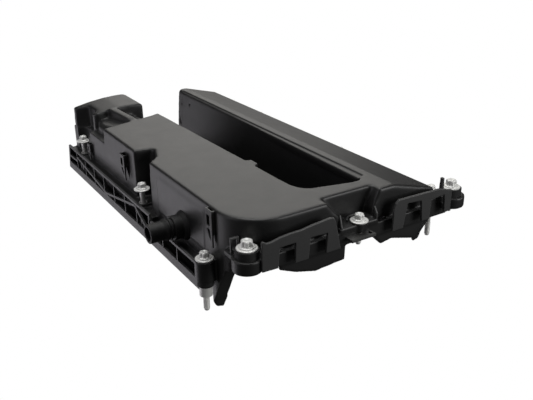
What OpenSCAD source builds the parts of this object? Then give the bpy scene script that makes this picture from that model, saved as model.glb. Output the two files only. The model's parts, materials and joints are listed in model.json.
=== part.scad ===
/* [Banks] */
// height of the bank tops above the gasket's lower face
bank_top = 87.4; // [70:0.1:110]
// moulded wall thickness
wall = 3; // [2:0.5:5]
// outer left face of the left bank
lb_out = 130.3; // [110:0.1:150]
// radius of the left bank's rounded front corner
lb_corner = 42; // [20:1:60]
// front face of both banks
front_y = -225.5; // [-240:0.5:-200]
// right outer face of the right bank
rb_out = 88.5; // [70:0.5:110]
// height of the right bank's outer top edge
rb_low = 73.3; // [55:0.5:87]
// rear face of the right bank
rear_y = 213; // [190:1:230]
// foot of the injector valley's right wall
valley_r = 20.5; // [10:0.5:30]
// left edge of the right bank's top
rim_x = 28; // [20:1:35]

/* [Flange and skirt] */
// lower face of the base flange
base_z = 3; // [1:0.5:6]
// thickness of the base flange
base_t = 5; // [3:0.5:8]
// outer face of the side rails
rail_x = 141; // [120:1:160]
// top of the side rail's rear part
rail_top = 36.4; // [25:0.1:45]
// top of the side rail's front part
rail_low = 29.6; // [20:0.1:40]
// underside of the side decks
deck_z = 29.5; // [20:0.5:40]
// top of the side decks
deck_top = 33; // [25:0.5:45]

/* [Bolts] */
// radius of the flange washers
washer_r = 8.5; // [7:0.5:12]
// radius of the two outer front washers
ear_washer_r = 9.3; // [7:0.1:12]
// thickness of the flange washers
washer_t = 1.6; // [1:0.1:3]
// radius of the steel sleeves
sleeve_r = 6.1; // [4:0.1:8]
// radius of the bolt shank
shank_r = 2.95; // [2:0.05:4]
// radius of the hole through the sleeves
hole_r = 3.3; // [3.1:0.05:4]
// radius of the hole through the washers
washer_hole_r = 3; // [2.96:0.01:3.05]
// seat height of the side bolts
side_seat = 39; // [30:0.5:50]
// seat height of the outer front bolts
ear_seat = 65.2; // [50:0.1:80]
// how far the lifted rear left bolt stands up
lift_rear = 14.5; // [0:0.5:14.5]
// how far the lifted middle left bolt stands up
lift_mid = 14.5; // [0:0.5:14.5]

/* [Injector wells] */
// radius of the well bores
well_r = 13.5; // [10:0.5:20]
// distance between the wells
well_pitch = 96; // [80:1:110]

/* [Hidden] */
$fn = 64;
eps = 0.01;
base_top = base_z + base_t;
open_front = -170;
seal_front = -140;
front_low = 43;
side_foot = side_seat - 2.5;
hole_side = [[-139, -175], [-132.9, -22], [-132.9, 169.5], [138.4, -175], [132.9, -22], [132.9, 169.5]];
grommet_r = [7.6, 5.4, 5.4, 7.6, 5.4, 5.4];
ear_pos = [[-122.7, -222], [116.1, -221.5]];
mid_pos = [-6, -226];
mid_seat = 61.5;
well_y = [-1.5, -0.5, 0.5, 1.5];
drum_c = [-94, 130];
spigot_y = -116.5;
spigot_z = 46.5;
rib_pitch = 33.3;
regulator_c = [-94, 133];
regulator_r = 16;
spring_turns = 4;

side_drop = 52.5;
ear_drop = 25.5;
mid_drop = 23;

// a flat outline drawn upward between two heights
module slab(pts, z0, z1) {
  translate([0, 0, z0]) linear_extrude(height = z1 - z0) polygon(pts);
}

module block(x0, x1, y0, y1, z0, z1) {
  translate([x0, y0, z0]) cube([x1 - x0, y1 - y0, z1 - z0]);
}

// an outline in X and Z drawn along Y
module along_y(pts, y0, y1) {
  translate([0, y1, 0]) rotate([90, 0, 0]) linear_extrude(height = y1 - y0) polygon(pts);
}

// outline of the left bank, moved inward by i
module left_plan(i) {
  difference() {
    union() {
      polygon([[-lb_out + i, -183.5], [-lb_out + i, 95 - i], [-49.3 - i, 118 - i], [-47 - i, -9],
        [-45.6 - i, -91], [-39.5 - i, -93], [-39.5 - i, -106], [-45.4 - i, -110], [-45 - i, -160],
        [-44.5 - i, -171], [-41.5 - i, -180], [-41.5 - i, front_y + i], [-lb_out + lb_corner, front_y + i],
        [-lb_out + lb_corner, -183.5]]);
      translate([-lb_out + lb_corner, front_y + lb_corner]) circle(r = lb_corner - i);
    }
    polygon([[-lb_out - 1, i], [-112 + i, -3 + i], [-109.5 + i, -8], [-117 + i, -28 - i], [-127, -39 - i],
      [-lb_out - 1, -41.5 - i]]);
  }
}

// roof of the wide bank over the left camshaft
module left_bank_top() {
  color([0.13, 0.13, 0.14]) translate([0, 0, bank_top - wall]) linear_extrude(height = wall) left_plan(0);
}

// walls of the left bank
module left_bank_walls() {
  color([0.13, 0.13, 0.14]) difference() {
    union() {
      translate([0, 0, base_top]) linear_extrude(height = bank_top - wall - base_top) left_plan(0);
      difference() {
        skirt_side([[-60, 40], [-60, 74], [-64, 78], [-160, 78], [-160, 40]], -lb_out - 0.8, -lb_out + 0.1);
        translate([-lb_out - 2, spigot_y, spigot_z]) rotate([0, 90, 0]) cylinder(r = 15.5, h = 4);
      }
    }
    translate([0, 0, base_top - 1]) linear_extrude(height = bank_top) left_plan(wall);
    block(-140, 0, front_y - 10, open_front, base_top - 1, deck_top);
    block(-140, 0, front_y - 10, -200, base_top - 1, front_low);
    translate([-lb_out - 1, spigot_y, spigot_z]) rotate([0, 90, 0]) cylinder(r = 9, h = wall + 3);
    block(-lb_out + wall, -60, 85, 130, base_top - 1, 56);
  }
}

// narrow bank over the right camshaft, with its sloping top
module right_bank() {
  color([0.14, 0.135, 0.13]) difference() {
    union() {
      intersection() {
        along_y([[valley_r, base_top], [rb_out, base_top], [rb_out, rb_low - 2], [rb_out - 2, rb_low],
          [rim_x + 8, bank_top], [rim_x, bank_top], [rim_x - 1, bank_top - 1.2], [valley_r + 5, bank_top - 1.6],
          [valley_r + 4, bank_top - 4], [valley_r + 2.5, 68], [valley_r + 1.5, 56], [valley_r, 39]],
          -191, 225);
        right_plan(0);
      }
      block(rb_out - 1, rb_out + 2.5, 73, 83, 61, 69.5);
      slab([[valley_r + 0.5, -191], [valley_r + 6, -191], [valley_r + 6, 60], [valley_r + 4.7, 60]], 79, bank_top - 1.8);
    }
    intersection() {
      along_y([[valley_r + wall, base_top - 1], [rb_out - wall, base_top - 1], [rb_out - wall, rb_low - 5],
        [rim_x + 10, bank_top - wall - 2], [valley_r + 8, bank_top - wall - 2], [valley_r + 5.5, 68],
        [valley_r + 4.5, 56], [valley_r + wall, 39]], -192, 225);
      right_plan(wall);
    }
    block(rim_x - 2.2, rim_x - 0.1, -189, 203, bank_top - 4.5, bank_top + 1);
    block(0, 95, -192, open_front, base_top - 1, deck_top);
    block(valley_r - 1, valley_r + 4.2, 200, 202.5, 67, 82);
    block(valley_r - 1, valley_r + 2, 201, 207, 40, 53);
    block(valley_r - 1, valley_r + 5, 176, 179, 72, 75);
  }
}

// ground plan of the right bank with its slanting rear end, moved inward by i
module right_plan(i) {
  slab([[15, -195], [95, -195], [95, 222.5 - i], [15, 211 - i]], 0, 100);
}

// front end of the right bank, ending in the flat front face
module right_front() {
  difference() {
    along_y([[30, deck_top], [rb_out, deck_top], [rb_out, rb_low - 2], [rb_out - 2, rb_low],
      [rim_x + 8, bank_top], [30, bank_top]], front_y, -191);
    along_y([[30 - 1, deck_top - 1], [rb_out - wall, deck_top - 1], [rb_out - wall, rb_low - 5],
      [rim_x + 10, bank_top - wall - 2], [30 - 1, bank_top - wall - 2]], front_y + wall, -190);
  }
}

// cross-piece between the banks, with the recess over the center bolt
module front_bridge() {
  color([0.13, 0.13, 0.14]) difference() {
    union() {
      slab([[-41.5, front_y], [30, front_y], [30, -191], [valley_r, -191], [valley_r - 1, -195],
        [valley_r - 5, -197.8], [7.4, -197.4], [-32.8, -188.2], [-38, -185], [-41.5, -180]],
        deck_top, bank_top);
      right_front();
    }
    along_y([[-42, 120], [-42, bank_top], [-24.8, 66], [-24.8, 61], [10.6, 61], [10.6, 69],
      [18, bank_top], [18, 120]], front_y - 1, -213);
    block(-42, 95, front_y - 1, -200, deck_top - 1, front_low);
    along_y([[-38.5, deck_top - 1], [27, deck_top - 1], [27, 58], [-38.5, 58]], front_y - 1, -200.5);
    along_y([[-38.5, 57], [30 + eps, 57], [30 + eps, bank_top - wall - 2],
      [-38.5, bank_top - wall - 2]], -209, -201);
    translate([mid_pos[0], mid_pos[1], 50]) cylinder(r = 5.8, h = 12);
  }
}

// flange around the open underside
module base_flange() {
  color([0.12, 0.12, 0.13]) difference() {
    slab([[-rail_x + 2.5, -163], [-lb_out + wall, -163], [-lb_out + wall, seal_front],
      [lb_out - wall, seal_front], [lb_out - wall, -163], [rail_x, -163], [rail_x, 218],
      [-rail_x + 2.5, 218]], base_z, base_top);
    block(-lb_out + wall, rb_out - wall, seal_front + 8, 200, base_z - 1, base_top + 1);
    block(-52, valley_r + wall, seal_front - 1, seal_front + 9, base_z - 1, base_top + 1);
    for (p = hole_side) translate([p[0], p[1], base_z - 1]) cylinder(r = 9.2, h = base_t + 2);
  }
}

// floor of the injector valley
module valley_floor() {
  color([0.12, 0.12, 0.13]) difference() {
    block(-52, valley_r + wall, open_front + 8, 200, base_z, base_top);
    for (k = well_y) translate([-14, k * well_pitch, base_z - 1]) cylinder(r = well_r, h = base_t + 2);
  }
}

// tubes around the injectors
module injector_wells() {
  color([0.12, 0.12, 0.13]) for (k = well_y) translate([-14, k * well_pitch, base_top]) difference() {
    cylinder(r = well_r + wall, h = 16);
    translate([0, 0, -1]) cylinder(r = well_r, h = 20);
  }
}

// round boss of a side bolt
module boss(p, z0, z1) {
  translate([p[0], p[1], z0]) cylinder(r = 9.2, h = z1 - z0);
}

// deck between the left bank and the side rail, with bosses and the corner skirt
module left_trough() {
  color([0.12, 0.12, 0.13]) difference() {
    union() {
      block(-rail_x + 2.5, -lb_out, -57, 211, deck_z, deck_top);
      block(-rail_x + 2.5, -lb_out, -165, -55, deck_z - 6, deck_top - 6);
      block(-rail_x + 2.5, -lb_out, -57, -55, deck_z - 6, deck_top);
      block(-lb_out, -108, -42, 1, deck_z, deck_top);
      translate([-rail_x + 2.5, 0, 0]) rotate([90, 0, 90]) linear_extrude(height = rail_x - 2.5 - lb_out)
        polygon([[208, deck_top], [211.5, deck_top], [217.8, base_top], [214, base_top]]);
      intersection() {
        recess(deck_z, deck_top);
        block(-rail_x + 2.5, -100, 150, 200, 0, 50);
      }
      boss(hole_side[0], 18, side_seat);
      square_boss(hole_side[1]);
      square_boss(hole_side[2]);
      block(-lb_out - 8, -lb_out + 1, -178, -163, 18, deck_top);
      left_skirt();
    }
    for (k = [0:2]) translate([hole_side[k][0], hole_side[k][1], 0]) cylinder(r = grommet_r[k], h = 60);
    difference() {
      translate([0, 0, base_top]) linear_extrude(height = 60) left_plan(-0.005);
      block(-200, 0, -260, open_front, 0, deck_top);
      block(-200, 0, -260, -200, 0, front_low);
    }
  }
}

// bay in the bank's rear end around the rear left bolt
module recess(z0, z1) {
  for (y = [171, 181]) translate([hole_side[2][0], y, z0]) cylinder(r = 16, h = z1 - z0);
  block(hole_side[2][0], hole_side[2][0] + 16, 171, 181, z0, z1);
}

// square boss of a bolt that stands in the trough
module square_boss(p) {
  block(-rail_x + 2.5, -124, p[1] - 7, p[1] + 7, 11.5, side_foot);
}

// slanted wall that joins the corner skirt to the front flange
module left_skirt() {
  intersection() {
    union() {
      difference() {
        skirt_side([[-170.1, -8.4], [-173.5, -8.4], [-201, 44], [-170.1, 44]], -lb_out - 2, -117);
        skirt_side([[-168, -9], [-170.3, -9], [-198, 45], [-168, 45]], -lb_out + wall, -120);
      }
      along_y([[-131, -5], [-131, -9], [-127.5, -15.6], [-120.3, -17.6], [-115.5, -8], [-115.5, -5]], -173.2, -170.2);
    }
    translate([0, 0, -20]) linear_extrude(height = 70) left_plan(0.02);
  }
}

// an outline in Y and Z drawn along X
module skirt_side(pts, x0, x1) {
  translate([x0, 0, 0]) rotate([90, 0, 90]) linear_extrude(height = x1 - x0) polygon(pts);
}

// lattice rail along the left side
module side_rail() {
  color([0.17, 0.17, 0.18]) difference() {
    skirt_side([[-172, base_z], [219, base_z], [210.7, rail_top], [-55, rail_top], [-57, rail_low],
      [-165.5, rail_low], [-165.5, 11.5], [-172, 11.5]], -rail_x, -rail_x + 2.5);
    translate([-rail_x - 1, 0, 0]) rotate([90, 0, 90]) linear_extrude(height = 5) difference() {
      polygon([[-162, 12.8], [213, 12.8], [207.5, rail_top - 2.5], [-53, rail_top - 2.5],
        [-60, rail_low - 2.5], [-162, rail_low - 2.5]]);
      for (k = [-4:5]) translate([13 + k * rib_pitch - 0.8, 0]) square([1.6, 40]);
      strut(214, 21.5, 180, 22.5);
      strut(180, 28, 75, 14);
      strut(75, 14, -16, 32);
      strut(-16, 32, -52, 13);
    }
    translate([hole_side[0][0], hole_side[0][1], 0]) cylinder(r = 9.2, h = 40);
  }
}

module strut(y0, z0, y1, z1) {
  polygon([[y0, z0 - 1.3], [y0, z0 + 1.3], [y1, z1 + 1.3], [y1, z1 - 1.3]]);
}

// deck, skirt and bosses on the right side
module right_shelf() {
  color([0.12, 0.12, 0.13]) difference() {
    union() {
      block(rb_out, rail_x, -165, rear_y, deck_z, deck_top);
      block(rail_x - wall, rail_x, -165, rear_y, base_top, deck_z);
      slab([[rb_out, -199], [112, -198], [128, -182], [138, -178], [rail_x, -165],
        [rb_out, -165]], deck_z, deck_top);
      boss(hole_side[3], 18, side_seat);
      mirror([1, 0, 0]) square_boss(hole_side[1]);
      mirror([1, 0, 0]) square_boss(hole_side[2]);
      block(lb_out - 1, lb_out + 8, -178, -163, 18, deck_top);
      mirror([1, 0, 0]) left_skirt();
    }
    for (k = [3:5]) translate([hole_side[k][0], hole_side[k][1], 0]) cylinder(r = grommet_r[k], h = 60);
    block(rb_out, lb_out + 0.1, -260, -165, deck_top, 60);
  }
}

// end wall behind both banks under the tower
module rear_wall() {
  color([0.12, 0.12, 0.13]) difference() {
    slab([[-lb_out, 90], [-lb_out, 211.5], [-49.3, 211.5], [-49.3, 110]], base_top, 62);
    slab([[-lb_out + wall, 85], [-lb_out + wall, 150], [-113.4, 158], [-113.4, 195], [-lb_out + wall, 199.5],
      [-lb_out + wall, 208.5], [-49.3 - wall, 208.5], [-49.3 - wall, 90]], base_top - 1, 62 - wall);
    translate([0, 0, base_top]) linear_extrude(height = 80) left_plan(-0.005);
    translate([regulator_c[0], regulator_c[1], 50]) cylinder(r = regulator_r, h = 20);
    slab([[-lb_out + wall, 150], [-lb_out + wall, 200], [-110, 200], [-110, 150]], base_top - 1, deck_z - 1);
    block(-rail_x, -123.9, 162.4, 176.6, 11.4, 45);
    translate([hole_side[2][0], hole_side[2][1], base_top - 1]) cylinder(r = 6, h = 8);
    recess(deck_z, 70);
  }
}

// raised front flange with the ears, lobes and center boss
module front_flange() {
  color([0.12, 0.12, 0.13]) difference() {
    union() {
      block(-108, 104, -229, front_y, front_low, 56);
      block(-30, 14, -229.5, front_y, 56, 60.4);
      slab([[-122.7, -234], [-108, -230], [-100, -226.2], [-108, -223.8], [-121, -206.2]], 45.4, 57.4);
      slab([[116.1, -233.5], [104, -230], [rb_out, -225.5], [rb_out, -212], [116.1, -208.8]], 46.8, 57.4);
      block(82, 104, -229, front_y, 55.5, 63);
      translate([ear_pos[0][0], ear_pos[0][1], 45.4]) cylinder(r = 13.4, h = 12.6);
      translate([ear_pos[1][0], ear_pos[1][1], 46.8]) cylinder(r = 14.2, h = 11.2);
      slab([[-132.5, -211.5], [-122, -214], [-118, -199], [-132.5, -199]], 52, 57.4);
      translate([mid_pos[0], mid_pos[1], 51.1]) cylinder(r = 5.8, h = 10.2);
      lobe([[-94, 46], [-94, 38.4], [-77, 31.2], [-56, 25.7], [-23, 28], [-22, 42.4], [-22, 46]]);
      lobe([[5.9, 46], [5.9, 45], [20.4, 31.4], [33.7, 33.5], [60.3, 26.3], [65.8, 28.3], [70.5, 34.7],
        [77.5, 43.7], [78, 46]]);
    }
    for (p = ear_pos) translate([p[0], p[1], 40]) cylinder(r = 8, h = 30);
    translate([mid_pos[0], mid_pos[1], 40]) cylinder(r = 4, h = 30);
    translate([0, 0, deck_top]) linear_extrude(height = 60) left_plan(-0.005);
  }
}

// rounded drop of the front face in front of a camshaft end
module lobe(pts) {
  translate([0, front_y, 0]) rotate([90, 0, 0]) linear_extrude(height = 3) polygon(pts);
}

module tower_plan() {
  polygon([[-130, 206], [-56.5, 206], [-57.5, 145.8], [-108, 149], [-117, 149], [-121, 152], [-121, 158],
    [-114, 163], [-114, 189], [-130, 199]]);
}

// box tower of the breather at the rear left
module breather_tower() {
  color([0.13, 0.13, 0.14]) difference() {
    intersection() {
      translate([0, 0, 62]) linear_extrude(height = 40) tower_plan();
      along_y([[-131, 62], [-131, 86.5], [-129, 87.6], [-110, 91.6], [-88, 94.6], [-66, 95.6], [-60, 94.8],
        [-57, 92], [-55, 62]], 140, 210);
    }
    slab([[-111, 202], [-62, 202], [-62, 152], [-104, 157], [-111, 163]], 61, 84);
    recess(0, 110);
    translate([drum_c[0], drum_c[1], 61]) cylinder(r = 28.3, h = 21);
  }
}

// round chamber of the pressure regulator
module oil_drum() {
  color([0.14, 0.14, 0.15]) difference() {
    translate([drum_c[0], drum_c[1], 0]) union() {
      translate([0, 0, 62]) cylinder(r = 28.3, h = 16);
      translate([0, 0, 78]) cylinder(r1 = 28.3, r2 = 24, h = 4);
    }
    translate([drum_c[0], drum_c[1], 61]) cylinder(r = 25.3, h = 17.5);
    translate([0, 0, base_top]) linear_extrude(height = 80) left_plan(-0.005);
  }
}

// raised fin on the drum's lid
module drum_fin() {
  color([0.14, 0.14, 0.15]) difference() {
    translate([-97, 148, 0]) rotate([0, 0, 16.3]) translate([-6.5, 0, 0]) rotate([90, 0, 90])
      linear_extrude(height = 11) polygon([[10, 82], [10, 94.5], [0, 95], [-38, 89.2], [-42.5, 86.5], [-42.5, 82]]);
    translate([0, 0, 80]) linear_extrude(height = 20) tower_plan();
    translate([0, 0, 60]) linear_extrude(height = bank_top - 60) left_plan(-0.005);
  }
}

// low block in front of the drum, above the trough
module ledge_block() {
  color([0.12, 0.12, 0.13]) difference() {
    slab([[-lb_out, 95.3], [-lb_out, 148], [-124, 151], [-119, 148.9], [-108, 148.9], [-108, 101.7]], 62, 69);
    translate([drum_c[0], drum_c[1], 61]) cylinder(r = 28.31, h = 21);
  }
}

// hose spigot, built along its own axis
module hose_spigot() {
  color([0.1, 0.1, 0.11]) translate([-lb_out, spigot_y, spigot_z]) rotate([0, -90, 0]) difference() {
    union() {
      cylinder(r1 = 15, r2 = 12.4, h = 4);
      translate([0, 0, 4 - eps]) cylinder(r = 11.8, h = 9);
      translate([0, 0, 12]) cylinder(r = 9.5, h = 10);
      translate([0, 0, 15]) cylinder(r = 11, h = 1.6);
      translate([0, 0, 19]) cylinder(r1 = 11, r2 = 9.4, h = 3);
      translate([0, 0, 21]) cylinder(r = 9.2, h = 16);
    }
    translate([0, 0, -1]) cylinder(r = 6.8, h = 50);
  }
}

// comb plate that carries the wiring in front of the left bank
module comb_left() {
  color([0.19, 0.19, 0.2]) union() {
    translate([0, -234.5, 0]) rotate([90, 0, 0]) linear_extrude(height = 2.5)
      polygon([[-117, 47.5], [-117, 74.8], [-115.5, 75.6], [-112.5, 73.4], [-108, 73.2], [-99, 75.2], [-90, 76],
        [-77, 76.2], [-66, 77.8], [-48, 79.4], [-43.6, 78.6], [-41.6, 75], [-35, 46.5], [-51, 46.5], [-50, 66],
        [-68, 66.5], [-70, 46.7], [-83.6, 46.7], [-83.6, 66], [-99.5, 66], [-101, 47]]);
    for (x = [-105, -76, -44]) block(x - 1, x + 1, -234.5, -229, 48, 56);
  }
}

// comb plate in front of the right bank
module comb_right() {
  color([0.19, 0.19, 0.2]) union() {
    translate([0, -234.5, 0]) rotate([90, 0, 0]) linear_extrude(height = 2.5)
      polygon([[25.8, 46.5], [26.5, 66], [28.5, 74], [32, 77.2], [57, 76.6], [83.5, 76], [101, 71.5], [101, 49.5], [93, 49],
        [91, 68.5], [74, 67.5], [73, 47.5], [63, 47.5], [60.5, 69.5], [43, 71], [39, 46.5]]);
    for (x = [34, 68, 97]) block(x - 1, x + 1, -234.5, -229, 50, 55.9);
  }
}

// slotted rail for a push-on clip, standing on a bank wall
module clip_rail(z0, z1, w) {
  h = z1 - z0;
  rotate([90, 0, 90]) linear_extrude(height = 1.5) difference() {
    polygon([[-w / 2, z0], [2 - w / 2, z0], [w / 2, z0 + 0.45 * h], [w / 2, z1], [-w / 2, z1]]);
    polygon([[4.5 - w / 2, z0 + 0.56 * h], [w / 2 - 2.5, z0 + 0.56 * h], [w / 2 - 2.5, z0 + 0.85 * h],
      [4.5 - w / 2, z0 + 0.85 * h]]);
    polygon([[2 - w / 2, z0 + 0.18 * h], [5 - w / 2, z0 + 0.24 * h], [w / 2 - 2.5, z0 + 0.47 * h],
      [4.5 - w / 2, z0 + 0.47 * h]]);
  }
}

// tapering web that holds a clip rail off its wall
module clip_web(x0, y, z0, z1) {
  translate([0, y, 0]) rotate([90, 0, 0]) linear_extrude(height = 1.5)
    polygon([[-lb_out, z0], [-lb_out, z1], [x0, z1], [x0, z0 + 0.7 * (z1 - z0)]]);
}

module clip_rail_rear() {
  color([0.16, 0.16, 0.17]) union() {
    translate([-134, 147, 0]) clip_rail(deck_top, 54, 10);
    clip_web(-132.5, 143.5, 36, 54);
    clip_web(-132.5, 152, 36, 54);
  }
}

module clip_rail_mid() {
  color([0.18, 0.18, 0.19]) union() {
    translate([-135.3, 25, 0]) clip_rail(48, 77, 12);
    clip_web(-133.8, 20.5, 48, 77);
    clip_web(-133.8, 31, 48, 77);
  }
}

module clip_rail_front() {
  color([0.16, 0.16, 0.17]) union() {
    translate([-133.8, -176, 0]) clip_rail(51, 86, 12);
    clip_web(-132.3, -180.5, 51, 86);
    clip_web(-132.3, -170, 51, 86);
  }
}

// upright hoop that guides the harness behind the outer front bolt
module wire_hoop() {
  color([0.15, 0.15, 0.16]) difference() {
    translate([-131.5, -209.5, 0]) union() {
      translate([0, -1.2, 57.4]) cube([1.6, 2.4, 13]);
      translate([0, -1.2, 70.3]) cube([8, 2.4, 1.8]);
      translate([6.4, -1.2, 57.4]) cube([1.6, 2.4, 13]);
    }
    translate([ear_pos[0][0], ear_pos[0][1], 50]) cylinder(r = 13.5, h = 8.1);
  }
}

// upright blade beside the right comb
module cable_blade() {
  color([0.14, 0.14, 0.15]) along_y([[94, 63], [98.3, 63], [97.6, 81.6], [95.2, 81.6]], -229, -225.6);
}

// two small stiffening fins beside the center bolt, and the curved rib behind it
module center_fins() {
  color([0.14, 0.14, 0.15]) union() {
    skirt_side([[-229.5, 60.4], [front_y, 60.4], [front_y, 73]], -29, -27);
    skirt_side([[-229.5, 60.4], [-229.5, 66], [front_y, 72], [front_y, 60.4]], 11.5, 13.5);
    difference() {
      translate([mid_pos[0], mid_pos[1], 61]) cylinder(r = 11.8, h = 2.8);
      translate([mid_pos[0], mid_pos[1], 60]) cylinder(r = 10.2, h = 5);
      block(-30, 30, -240, -221, 60, 70);
    }
  }
}

// flat clip plate held in front of the center boss
module clip_plate() {
  color([0.3, 0.3, 0.31]) difference() {
    block(mid_pos[0] - 17, mid_pos[0] + 11, -238, -229.01, 48.5, 51);
    translate([mid_pos[0], mid_pos[1], 40]) cylinder(r = 4, h = 20);
    block(mid_pos[0] + 5.5, mid_pos[0] + 9, -235.5, -231, 48, 52);
  }
}

// ribbed rubber gasket under the flange
module gasket() {
  color([0.2, 0.2, 0.19]) difference() {
    block(-126, 126, seal_front + 1, 209, 0, base_z);
    block(-123, -56, seal_front + 6, 204, -1, base_z + 1);
    block(26, 121, seal_front + 6, 204, -1, base_z + 1);
    block(-51, 21, seal_front + 6, 204, -1, base_z + 1);
    for (p = hole_side) translate([p[0], p[1], -1]) cylinder(r = 9.2, h = base_z + 2);
    translate([-14, -1.5 * well_pitch, -1]) cylinder(r = well_r + 3.2, h = base_z + 2);
  }
  color([0.2, 0.2, 0.19]) block(-52, 22, -2.5, 2.5, 0, base_z);
}

// round seals under the injector wells
module well_seals() {
  color([0.2, 0.2, 0.19]) for (k = well_y) translate([-14, k * well_pitch, 0]) difference() {
    cylinder(r = well_r + 3, h = base_z);
    translate([0, 0, -1]) cylinder(r = well_r, h = base_z + 2);
  }
}

// oil baffle plates, held up inside the banks
module baffle(x0, x1, y0, y1, z) {
  difference() {
    block(x0, x1, y0, y1, z, z + 2);
    for (k = [0:4]) translate([(x0 + x1) / 2, y0 + 25 + k * (y1 - y0 - 50) / 4, z - 1]) cylinder(r = 3, h = 4);
  }
}

module baffle_left() {
  color([0.16, 0.16, 0.17]) union() {
    baffle(-104.5, -53, -182, 92, 62);
    for (y = [-138, -48, 82]) translate([-60, y, 64]) cylinder(r = 4, h = bank_top - wall - 64);
  }
}

module baffle_right() {
  color([0.16, 0.16, 0.17]) union() {
    baffle(valley_r + 5.5, rb_out - wall, -188, 207, 60);
    for (y = [-138, 12, 162]) translate([33, y, 62]) cylinder(r = 4, h = bank_top - wall - 2 - 62);
  }
}

module baffle_screws() {
  color([0.6, 0.6, 0.62]) union() {
    for (y = [-138, -48, 82]) translate([-60, y, 59]) cylinder(r = 3.5, h = 3);
    for (y = [-138, 12, 162]) translate([33, y, 57]) cylinder(r = 3.5, h = 3);
  }
}

// staggered plates that strip oil from the blow-by gas
module labyrinth() {
  color([0.16, 0.16, 0.17]) union() {
    for (k = [0:3]) block(-104.5, -70, -110 + k * 30, -108 + k * 30, 64, bank_top - wall);
    for (k = [0:3]) block(-98, -53, -95 + k * 30, -93 + k * 30, 64, bank_top - wall);
  }
}

// moulded rubber diaphragm with its plate
module diaphragm() {
  color([0.25, 0.22, 0.2]) translate([regulator_c[0], regulator_c[1], 0]) union() {
    translate([0, 0, 71]) cylinder(r = 19, h = 1.2);
    translate([0, 0, 69]) cylinder(r = 11, h = 2 + eps);
  }
}

// points round the wire at one place along the spring
function wire_ring(a) = [for (k = [0:5])
  let (r = 8.2 + 0.6 * cos(60 * k))
  [r * cos(a), r * sin(a), 62.6 + 5.8 * a / (360 * spring_turns) + 0.6 * sin(60 * k)]];

// return spring of the regulator, a wire swept along a coil
module regulator_spring() {
  steps = spring_turns * 16;
  points = [for (j = [0:steps]) each wire_ring(j * 360 / 16)];
  sides = [for (j = [0:steps - 1], k = [0:5]) [j * 6 + k, j * 6 + (k + 1) % 6, j * 6 + 6 + (k + 1) % 6, j * 6 + 6 + k]];
  color([0.6, 0.6, 0.6]) translate([regulator_c[0], regulator_c[1], 0])
    polyhedron(points, concat([[5, 4, 3, 2, 1, 0]], sides, [[for (k = [0:5]) steps * 6 + k]]));
}

// valve seat below the diaphragm
module regulator_seat() {
  color([0.15, 0.15, 0.16]) translate([regulator_c[0], regulator_c[1], 0]) difference() {
    union() {
      translate([0, 0, 59]) cylinder(r = regulator_r, h = 3);
      translate([0, 0, 62 - eps]) cylinder(r = 6, h = 4);
    }
    translate([0, 0, 50]) cylinder(r = 4, h = 20);
  }
}

// rubber rings that hold the sleeves in the side bosses
module grommets() {
  color([0.08, 0.08, 0.08]) for (k = [0:5]) translate([hole_side[k][0], hole_side[k][1], 13]) difference() {
    cylinder(r = grommet_r[k], h = 22);
    translate([0, 0, -1]) cylinder(r = sleeve_size(k), h = 30);
  }
}

// the sleeves that stand in the square bosses are thinner
function sleeve_size(k) = k == 0 || k == 3 ? sleeve_r : sleeve_r - 1.5;

// isolator collars under the front bolt heads
module isolators() {
  color([0.09, 0.09, 0.09]) for (p = ear_pos) difference() {
    union() {
      translate([p[0], p[1], 47]) cylinder(r = 8, h = 11 + eps);
      translate([p[0], p[1], 58]) cylinder(r = 10.6, h = ear_seat - 58);
    }
    translate([p[0], p[1], 40]) cylinder(r = sleeve_r, h = 30);
    translate([0, 0, deck_top]) linear_extrude(height = 60) left_plan(-0.005);
  }
}

module sleeve(p, z0, z1, r) {
  translate([p[0], p[1], z0]) difference() {
    cylinder(r = r, h = z1 - z0);
    translate([0, 0, -1]) cylinder(r = hole_r, h = z1 - z0 + 2);
  }
}

// steel sleeves that carry the clamping load
module sleeves() {
  color([0.72, 0.73, 0.7]) union() {
    for (k = [0:5]) sleeve(hole_side[k], k == 3 ? 14 : 2.6, k == 1 || k == 2 ? side_foot : side_seat, sleeve_size(k));
    for (p = ear_pos) sleeve(p, 45, ear_seat, sleeve_r);
    sleeve(mid_pos, 44.2, mid_seat, 4);
  }
}

module washer(p, z, r) {
  color([0.8, 0.8, 0.78]) translate([p[0], p[1], z]) difference() {
    cylinder(r = r, h = washer_t);
    translate([0, 0, -1]) cylinder(r = washer_hole_r, h = washer_t + 2);
  }
}

// bolt with a small flange, a six-lobed head, a waisted shank and a stud end
module bolt(p, z, below, thread, k) {
  tip = -below - washer_t;
  color([0.8, 0.8, 0.78]) translate([p[0], p[1], z + washer_t]) union() {
    cylinder(r1 = 6.2 * k, r2 = 5.4 * k, h = 1.2);
    translate([0, 0, 1.1]) linear_extrude(height = 4 * k) union() {
      circle(r = 4.1 * k);
      for (j = [0:5]) rotate([0, 0, 60 * j]) translate([3.6 * k, 0]) circle(r = 1.2 * k, $fn = 24);
    }
    translate([0, 0, 1.1 + 4 * k - eps]) cylinder(r1 = 4.1 * k, r2 = 2.8 * k, h = k);
    translate([0, 0, -9.6]) cylinder(r = shank_r, h = 9.6 + eps);
    translate([0, 0, tip + thread - eps]) cylinder(r = shank_r - 0.35, h = -9.6 - tip - thread + 2 * eps);
    translate([0, 0, tip + 1]) cylinder(r = shank_r, h = thread - 1);
    translate([0, 0, tip]) cylinder(r1 = shank_r - 0.8, r2 = shank_r, h = 1 + eps);
  }
}

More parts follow.
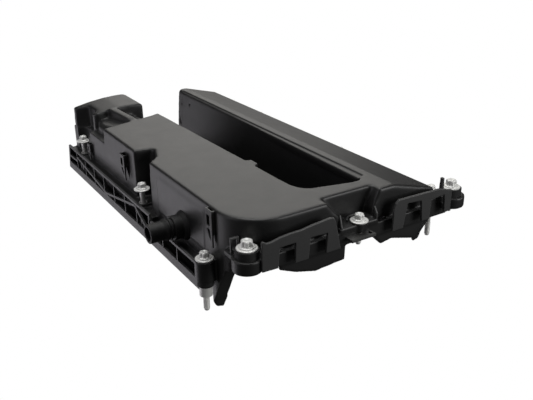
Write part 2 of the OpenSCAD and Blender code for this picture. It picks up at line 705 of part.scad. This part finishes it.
left_bank_top();
left_bank_walls();
right_bank();
front_bridge();
base_flange();
valley_floor();
injector_wells();
left_trough();
side_rail();
right_shelf();
rear_wall();
front_flange();
breather_tower();
oil_drum();
drum_fin();
ledge_block();
hose_spigot();
comb_left();
comb_right();
clip_rail_rear();
clip_rail_mid();
clip_rail_front();
wire_hoop();
cable_blade();
center_fins();
clip_plate();
gasket();
well_seals();
baffle_left();
baffle_right();
baffle_screws();
labyrinth();
diaphragm();
regulator_spring();
regulator_seat();
grommets();
isolators();
sleeves();
washer(hole_side[2], side_foot + lift_rear, washer_r);  // washer_l1
bolt(hole_side[2], side_foot + lift_rear, side_drop, 16, 1);  // bolt_l1
washer(hole_side[1], side_foot + lift_mid, washer_r);  // washer_l2
bolt(hole_side[1], side_foot + lift_mid, side_drop, 16, 1);  // bolt_l2
washer(hole_side[0], side_seat, washer_r);  // washer_l3
bolt(hole_side[0], side_seat, side_drop, 16, 1);  // bolt_l3
washer(ear_pos[0], ear_seat, ear_washer_r);  // washer_f1
bolt(ear_pos[0], ear_seat, ear_drop, 12, 1.16);  // bolt_f1
washer(mid_pos, mid_seat, washer_r);  // washer_f2
bolt(mid_pos, mid_seat, mid_drop, 9, 1);  // bolt_f2
washer(ear_pos[1], ear_seat, ear_washer_r);  // washer_f3
bolt(ear_pos[1], ear_seat, ear_drop, 12, 1.16);  // bolt_f3
washer(hole_side[3], side_seat, washer_r);  // washer_r1
bolt(hole_side[3], side_seat, side_drop, 16, 1);  // bolt_r1
washer(hole_side[4], side_seat, washer_r);  // washer_r2
bolt(hole_side[4], side_seat, side_drop, 16, 1);  // bolt_r2
washer(hole_side[5], side_seat, washer_r);  // washer_r3
bolt(hole_side[5], side_seat, side_drop, 16, 1);  // bolt_r3
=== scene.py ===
"""Looks of the camshaft cover: its soft-edged moulding, plated bolts, rubber parts and studio."""
import json
import math

import bmesh
import bpy
from mathutils import Matrix, Vector


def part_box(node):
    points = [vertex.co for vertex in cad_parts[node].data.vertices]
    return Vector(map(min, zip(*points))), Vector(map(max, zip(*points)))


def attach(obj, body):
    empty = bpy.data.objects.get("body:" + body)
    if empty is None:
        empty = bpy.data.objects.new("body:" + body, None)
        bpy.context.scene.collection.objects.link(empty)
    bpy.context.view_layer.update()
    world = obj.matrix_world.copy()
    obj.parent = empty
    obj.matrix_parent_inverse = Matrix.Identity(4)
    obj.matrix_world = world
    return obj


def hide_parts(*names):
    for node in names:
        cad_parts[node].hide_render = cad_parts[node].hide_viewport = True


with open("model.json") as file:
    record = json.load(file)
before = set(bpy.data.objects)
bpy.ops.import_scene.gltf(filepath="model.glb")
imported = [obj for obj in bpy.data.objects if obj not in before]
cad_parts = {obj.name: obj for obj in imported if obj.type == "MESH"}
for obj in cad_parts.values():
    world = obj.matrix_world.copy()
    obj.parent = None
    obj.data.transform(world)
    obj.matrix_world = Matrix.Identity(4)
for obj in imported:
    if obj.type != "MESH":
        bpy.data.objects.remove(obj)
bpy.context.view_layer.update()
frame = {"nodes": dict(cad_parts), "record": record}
MM = 0.001
GROW_MM = 0.07
MOULDING_VOXEL_MM = 1.0
MOULDING_ROUNDS = 8
TRIM_VOXEL_MM = 0.4
TRIM_ROUNDS = 4
CROWN_ROUNDS = 34


# ---------------------------------------------------------------- camera
LENS_MM = 45.0
SENSOR_MM = 36.0
AZIMUTH = math.radians(-32.258)
ELEVATION = math.radians(23.661)
ROLL = math.radians(-0.562)
EYE = Vector((-369.58, -644.38, 323.31)) * MM


def add_camera():
    """A camera that looks down over the timing end from the left."""
    back = Vector((math.sin(AZIMUTH) * math.cos(ELEVATION), -math.cos(AZIMUTH) * math.cos(ELEVATION),
                   math.sin(ELEVATION)))
    right = (-back).cross(Vector((0, 0, 1))).normalized()
    up = right.cross(-back)
    turned_right = right * math.cos(ROLL) + up * math.sin(ROLL)
    turned_up = up * math.cos(ROLL) - right * math.sin(ROLL)
    data = bpy.data.cameras.new("camera")
    data.lens = LENS_MM
    data.sensor_width = SENSOR_MM
    data.clip_start = 0.01
    camera = bpy.data.objects.new("camera", data)
    bpy.context.scene.collection.objects.link(camera)
    rotation = Matrix((turned_right, turned_up, back)).transposed().to_4x4()
    camera.matrix_world = Matrix.Translation(EYE) @ rotation
    bpy.context.scene.camera = camera


# ---------------------------------------------------------------- studio
def add_area(name, place, target, size, power, color=(1, 1, 1)):
    """A soft square lamp at place, aimed at target."""
    data = bpy.data.lights.new(name, "AREA")
    data.size = size
    data.energy = power
    data.color = color
    lamp = bpy.data.objects.new(name, data)
    bpy.context.scene.collection.objects.link(lamp)
    lamp.location = place
    lamp.rotation_euler = (Vector(target) - Vector(place)).to_track_quat("-Z", "Y").to_euler()


def add_studio():
    """A plain white surround that only the camera sees, and soft lamps behind, above and beside."""
    world = bpy.data.worlds.new("studio")
    world.use_nodes = True
    tree = world.node_tree
    tree.nodes["Background"].inputs["Color"].default_value = (1, 1, 1, 1)
    tree.nodes["Background"].inputs["Strength"].default_value = 0.05
    seen = tree.nodes.new("ShaderNodeBackground")
    seen.inputs["Color"].default_value = (1, 1, 1, 1)
    seen.inputs["Strength"].default_value = 1.0
    path = tree.nodes.new("ShaderNodeLightPath")
    mix = tree.nodes.new("ShaderNodeMixShader")
    tree.links.new(path.outputs["Is Camera Ray"], mix.inputs["Fac"])
    tree.links.new(tree.nodes["Background"].outputs[0], mix.inputs[1])
    tree.links.new(seen.outputs[0], mix.inputs[2])
    tree.links.new(mix.outputs[0], tree.nodes["World Output"].inputs["Surface"])
    bpy.context.scene.world = world

    add_area("back_softbox", (0.75, 1.25, 0.95), (0, 0, 0.05), 1.3, 8.5, (1.0, 0.98, 0.94))
    add_area("top_softbox", (0.0, 0.1, 1.5), (0, 0, 0.05), 1.2, 14)
    add_area("left_softbox", (-0.9, 1.0, -0.55), (0, 0, 0.05), 1.2, 5.5, (0.97, 0.94, 1.0))
    add_area("left_fill", (-1.5, 0.1, 0.5), (0, 0, 0.05), 0.7, 3, (0.97, 0.94, 1.0))
    add_area("front_fill", (0.9, -1.4, 0.5), (0, 0, 0.05), 0.8, 12)
    bpy.context.scene.view_settings.view_transform = "Standard"


# ---------------------------------------------------------------- materials
class Nodes:
    """A short way to write a shader's node tree."""

    def __init__(self, name, rough, metallic=0.0, specular=0.5):
        self.material = bpy.data.materials.new(name)
        self.material.use_nodes = True
        self.tree = self.material.node_tree
        self.shader = self.tree.nodes["Principled BSDF"]
        self.shader.inputs["Roughness"].default_value = rough
        self.shader.inputs["Metallic"].default_value = metallic
        self.shader.inputs["Specular IOR Level"].default_value = specular
        self.place = self.tree.nodes.new("ShaderNodeTexCoord").outputs["Object"]

    def add(self, kind, **values):
        """A node with its sockets set by name, or linked where the value is a socket."""
        node = self.tree.nodes.new(kind)
        for key, value in values.items():
            socket = node.inputs[key.replace("_", " ")]
            if isinstance(value, bpy.types.NodeSocket):
                self.tree.links.new(value, socket)
            else:
                socket.default_value = value
        return node

    def noise(self, scale, detail=4.0, rough=0.55, stretch=(1, 1, 1)):
        """A noise of so many cells a metre."""
        mapping = self.add("ShaderNodeMapping", Vector=self.place, Scale=stretch)
        return self.add("ShaderNodeTexNoise", Vector=mapping.outputs[0], Scale=scale, Detail=detail,
                        Roughness=rough).outputs["Fac"]

    def ramp(self, factor, stops):
        """A colour ramp through (position, colour) stops."""
        node = self.tree.nodes.new("ShaderNodeValToRGB")
        self.tree.links.new(factor, node.inputs["Fac"])
        node.color_ramp.elements[0].position, node.color_ramp.elements[0].color = stops[0]
        node.color_ramp.elements[1].position, node.color_ramp.elements[1].color = stops[-1]
        for position, color in stops[1:-1]:
            node.color_ramp.elements.new(position).color = color
        return node.outputs["Color"]

    def mix(self, factor, first, second):
        """first where factor is 0, second where it is 1."""
        node = self.tree.nodes.new("ShaderNodeMix")
        node.data_type = "RGBA"
        for socket, value in ((0, factor), (6, first), (7, second)):
            if isinstance(value, bpy.types.NodeSocket):
                self.tree.links.new(value, node.inputs[socket])
            else:
                node.inputs[socket].default_value = value
        return node.outputs[2]

    def spread(self, factor, low, high):
        """factor's middle range spread from low to high."""
        return self.add("ShaderNodeMapRange", Value=factor, From_Min=0.3, From_Max=0.7, To_Min=low,
                        To_Max=high).outputs[0]

    def set(self, socket, value):
        self.tree.links.new(value, self.shader.inputs[socket])

    def bump(self, height, strength, distance):
        """Adds a layer of relief above the earlier ones."""
        node = self.add("ShaderNodeBump", Height=height, Strength=strength, Distance=distance)
        earlier = self.shader.inputs["Normal"].links
        if earlier:
            self.tree.links.new(earlier[0].from_socket, node.inputs["Normal"])
        self.tree.links.new(node.outputs[0], self.shader.inputs["Normal"])

    def edges(self, low, high):
        """1 on sharp convex edges, 0 on flats."""
        pointy = self.add("ShaderNodeNewGeometry").outputs["Pointiness"]
        return self.add("ShaderNodeMapRange", Value=pointy, From_Min=low, From_Max=high).outputs[0]


def gray(value):
    return (value, value, value, 1)


def moulded_nylon(name, base, rough):
    """Black glass-filled nylon: fine spark-eroded grain, faint flow marks and a lighter painted highlight
    along sharp convex edges.
    """
    n = Nodes(name, rough)
    flow = n.noise(14, 3, 0.6, (1, 0.35, 1))
    grain = n.noise(1600, 2, 0.5)
    pores = n.noise(420, 3, 0.6)
    body = n.mix(n.spread(flow, 0, 1), gray(base * 0.92), gray(base * 1.08))
    speck = n.ramp(grain, [(0.62, gray(0)), (0.8, gray(1))])
    body = n.mix(speck, body, gray(base * 2.0))
    # painted highlight: sharp convex edges are lightened to stand in for the light that rounded edges catch
    body = n.mix(n.edges(0.515, 0.56), body, gray(base * 2.1))
    n.set("Base Color", body)
    n.set("Roughness", n.spread(n.noise(60, 4, 0.6), rough - 0.015, rough + 0.02))
    n.bump(grain, 0.25, 0.00012)
    n.bump(pores, 0.12, 0.0002)
    return n.material


def zinc_plate(name, base, rough, metallic=0.6):
    """Pale zinc plate with faint clouding and small scuffs."""
    n = Nodes(name, rough, metallic=metallic)
    cloud = n.noise(260, 4, 0.6)
    color = n.mix(n.spread(cloud, 0, 1), (base * 0.92, base * 0.92, base * 0.88, 1),
                  (base, base, base * 0.98, 1))
    n.set("Base Color", color)
    n.set("Roughness", n.spread(n.noise(700, 3, 0.6), rough - 0.06, rough + 0.08))
    n.bump(n.noise(2600, 2, 0.5), 0.2, 0.00004)
    return n.material


def rubber(name, base):
    """Matt moulded rubber with a dusty bloom."""
    n = Nodes(name, 0.75, specular=0.3)
    bloom = n.noise(90, 5, 0.65)
    n.set("Base Color", n.mix(n.spread(bloom, 0, 1), gray(base * 0.8), gray(base * 1.5)))
    n.set("Roughness", n.spread(n.noise(300, 3, 0.6), 0.66, 0.86))
    n.bump(n.noise(1300, 3, 0.6), 0.3, 0.0001)
    return n.material


MATERIALS = {
    "satin_nylon": moulded_nylon("satin_nylon", 0.011, 0.44),
    "dark_nylon": moulded_nylon("dark_nylon", 0.040, 0.5),
    "black_nylon": moulded_nylon("black_nylon", 0.003, 0.6),
    "rubber": rubber("rubber", 0.02),
    "zinc_bolt": zinc_plate("zinc_bolt", 0.90, 0.42, 0.25),
    "zinc_washer": zinc_plate("zinc_washer", 0.92, 0.42, 0.25),
    "steel_sleeve": zinc_plate("steel_sleeve", 0.85, 0.42, 0.3),
    "steel_wire": zinc_plate("steel_wire", 0.6, 0.3),
    "clip_metal": zinc_plate("clip_metal", 0.12, 0.45),
}
SLOT_OF = {part["node"]: part["material_slot"] for part in frame["record"]["subparts"]}


def paint(obj, slot):
    obj.data.materials.clear()
    obj.data.materials.append(MATERIALS[slot])


def copied(names, grow):
    """One mesh of copies of these CAD nodes, each grown a little so that touching ones fuse."""
    joined = bmesh.new()
    for name in names:
        node = frame["nodes"][name]
        single = bmesh.new()
        single.from_mesh(node.data)
        single.transform(node.matrix_world)
        bmesh.ops.remove_doubles(single, verts=single.verts, dist=1e-6)
        single.normal_update()
        for vertex in single.verts:
            vertex.co += vertex.normal * grow
        mesh = bpy.data.meshes.new(name)
        single.to_mesh(mesh)
        joined.from_mesh(mesh)
        single.free()
        bpy.data.meshes.remove(mesh)
    mesh = bpy.data.meshes.new("joined")
    joined.to_mesh(mesh)
    joined.free()
    return mesh


def applied(piece):
    """The piece's mesh with its modifiers applied, which then replaces its mesh."""
    bpy.context.view_layer.update()
    mesh = bpy.data.meshes.new_from_object(piece.evaluated_get(bpy.context.evaluated_depsgraph_get()))
    piece.modifiers.clear()
    piece.data = mesh
    return mesh


def step(value, low, high):
    """0 below low, 1 above high, and a straight slope between."""
    return min(1.0, max(0.0, (value - low) / (high - low)))


def top_edges(point):
    """1 along the outer top edges of the banks and the tower, which have the widest radii, 0 elsewhere."""
    above = step(point.z, 73, 78)
    left = step(-point.x, 54, 60)
    front = step(-point.y, 207, 211)
    right = 0.35 * step(point.x, 50, 60) * step(point.z, 66, 69)
    return max(above * max(left, front), right)


def softened(title, names, slot, voxel, rounds, crown=None):
    """A moulding made of these CAD nodes, with the small radii that a mould leaves on every edge.

    crown gives each point the share of the wider smoothing that it takes.
    """
    piece = bpy.data.objects.new(title, copied(names, GROW_MM * MM))
    bpy.context.scene.collection.objects.link(piece)
    remesh = piece.modifiers.new("remesh", "REMESH")
    remesh.mode = "VOXEL"
    remesh.voxel_size = voxel * MM
    smooth = piece.modifiers.new("smooth", "SMOOTH")
    smooth.factor = 0.5
    smooth.iterations = rounds
    mesh = applied(piece)
    if crown:
        group = piece.vertex_groups.new(name="crown")
        for vertex in mesh.vertices:
            weight = crown(vertex.co / MM)
            if weight > 0:
                group.add([vertex.index], weight, "REPLACE")
        wide = piece.modifiers.new("wide", "SMOOTH")
        wide.factor = 0.5
        wide.iterations = CROWN_ROUNDS
        wide.vertex_group = "crown"
        mesh = applied(piece)
    mesh.name = title
    mesh.shade_smooth()
    paint(piece, slot)
    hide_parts(*names)
    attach(piece, "cover")
    return piece


def turned(title, rings, center, segments=48):
    """A turned solid from (radius, height, lobe depth) rings, closed at both ends, about an upright axis."""
    mesh = bpy.data.meshes.new(title)
    points, faces = [], []
    for radius, height, lobe in rings:
        for k in range(segments):
            angle = 2 * math.pi * k / segments
            wave = math.cos(6 * angle)
            reach = (radius + lobe * (wave - 0.25 * math.cos(12 * angle))) * MM
            points.append((center[0] + reach * math.cos(angle), center[1] + reach * math.sin(angle), height))
    count = len(rings)
    for j in range(count - 1):
        for k in range(segments):
            after = (k + 1) % segments
            faces.append((j * segments + k, (j + 1) * segments + k,
                          (j + 1) * segments + after, j * segments + after))
    faces.append(tuple(range(segments)))
    faces.append(tuple((count - 1) * segments + k for k in reversed(range(segments))))
    mesh.from_pydata(points, [], faces)
    mesh.shade_smooth()
    mesh.set_sharp_from_angle(angle=math.radians(42))
    piece = bpy.data.objects.new(title, mesh)
    bpy.context.scene.collection.objects.link(piece)
    return piece


def add_bolt(name, thread):
    """A flanged bolt with six lobes, a waisted shank and a cut thread of so many millimetres at its end."""
    node = "bolt_" + name
    low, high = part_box(node)
    k = (high.x - low.x) / (12.4 * MM)
    top, tip = high.z, low.z
    seat = top - (1.1 + 5 * k) * MM
    rings = [(1.5 * k, top - 0.5 * MM, 0), (2.0 * k, top - 0.08 * MM, 0), (2.4 * k, top, 0),
             (3.1 * k, top - 0.1 * MM, 0.1 * k), (3.7 * k, top - 0.45 * MM, 0.3 * k),
             (4.1 * k, top - 1.1 * MM, 0.5 * k), (4.25 * k, top - 1.7 * MM, 0.55 * k),
             (4.25 * k, seat + 1.9 * MM, 0.55 * k), (4.5 * k, seat + 1.5 * MM, 0.4 * k),
             (5.1 * k, seat + 1.2 * MM, 0.1 * k), (5.8 * k, seat + 0.95 * MM, 0),
             (6.1 * k, seat + 0.6 * MM, 0), (6.2 * k, seat + 0.3 * MM, 0), (6.1 * k, seat, 0),
             (3.1, seat, 0), (2.95, seat - 0.2 * MM, 0), (2.95, seat - 9.2 * MM, 0),
             (2.6, seat - 9.6 * MM, 0)]
    start = tip + thread * MM
    rings.append((2.6, start, 0))
    turns = int(thread) - 2
    for turn in range(turns):
        z = start - (turn + 0.2) * MM
        rings += [(2.5, z, 0), (2.93, z - 0.42 * MM, 0), (2.93, z - 0.52 * MM, 0), (2.5, z - 0.94 * MM, 0)]
    rings += [(2.6, tip + 1.2 * MM, 0), (2.1, tip, 0)]
    piece = turned(node, rings, ((low.x + high.x) / 2, (low.y + high.y) / 2))
    piece.name = node + "_turned"
    paint(piece, "zinc_bolt")
    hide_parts(node)
    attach(piece, node)


def add_washer(name):
    """A stamped washer with rolled edges."""
    node = "washer_" + name
    low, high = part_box(node)
    rim = (high.x - low.x) / (2 * MM)
    bottom, top = low.z, high.z
    rings = [(3.0, bottom + 0.3 * MM, 0), (3.3, bottom, 0), (rim - 0.4, bottom, 0),
             (rim - 0.08, bottom + 0.25 * MM, 0), (rim, bottom + 0.6 * MM, 0),
             (rim - 0.06, top - 0.4 * MM, 0), (rim - 0.5, top - 0.08 * MM, 0), (rim - 1.2, top, 0),
             (3.3, top, 0), (3.0, top - 0.3 * MM, 0)]
    piece = turned(node, rings, ((low.x + high.x) / 2, (low.y + high.y) / 2))
    ring_mesh = bmesh.new()
    ring_mesh.from_mesh(piece.data)
    ring_mesh.faces.ensure_lookup_table()
    bmesh.ops.delete(ring_mesh, geom=list(ring_mesh.faces)[-2:], context="FACES_ONLY")
    edges = [edge for edge in ring_mesh.edges if edge.is_boundary]
    bmesh.ops.bridge_loops(ring_mesh, edges=edges)
    bmesh.ops.recalc_face_normals(ring_mesh, faces=ring_mesh.faces)
    ring_mesh.to_mesh(piece.data)
    ring_mesh.free()
    piece.name = node + "_turned"
    paint(piece, "zinc_washer")
    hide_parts(node)
    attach(piece, node)


MOULDING = ["left_bank_top", "left_bank_walls", "valley_floor", "injector_wells", "right_bank",
            "front_bridge", "rear_wall", "breather_tower", "oil_drum", "drum_fin", "ledge_block",
            "front_flange", "left_trough", "right_shelf", "base_flange"]
TRIM = {"combs": (["comb_left", "comb_right"], "dark_nylon"),
        "clip_rails": (["clip_rail_rear", "clip_rail_front"], "dark_nylon"),
        "clip_mid": (["clip_rail_mid"], "satin_nylon"),
        "front_trim": (["wire_hoop", "cable_blade", "center_fins"], "dark_nylon"),
        "hose_stub": (["hose_spigot"], "black_nylon")}

add_camera()
add_studio()
for name, node in frame["nodes"].items():
    paint(node, SLOT_OF[name])
softened("moulding", MOULDING, "satin_nylon", MOULDING_VOXEL_MM, MOULDING_ROUNDS, top_edges)
for title, (names, slot) in TRIM.items():
    softened(title, names, slot, TRIM_VOXEL_MM, TRIM_ROUNDS)
for name in ("l1", "l2", "l3", "r1", "r2", "r3"):
    add_bolt(name, 16)
    add_washer(name)
for name, thread in (("f1", 12), ("f2", 9), ("f3", 12)):
    add_bolt(name, thread)
    add_washer(name)
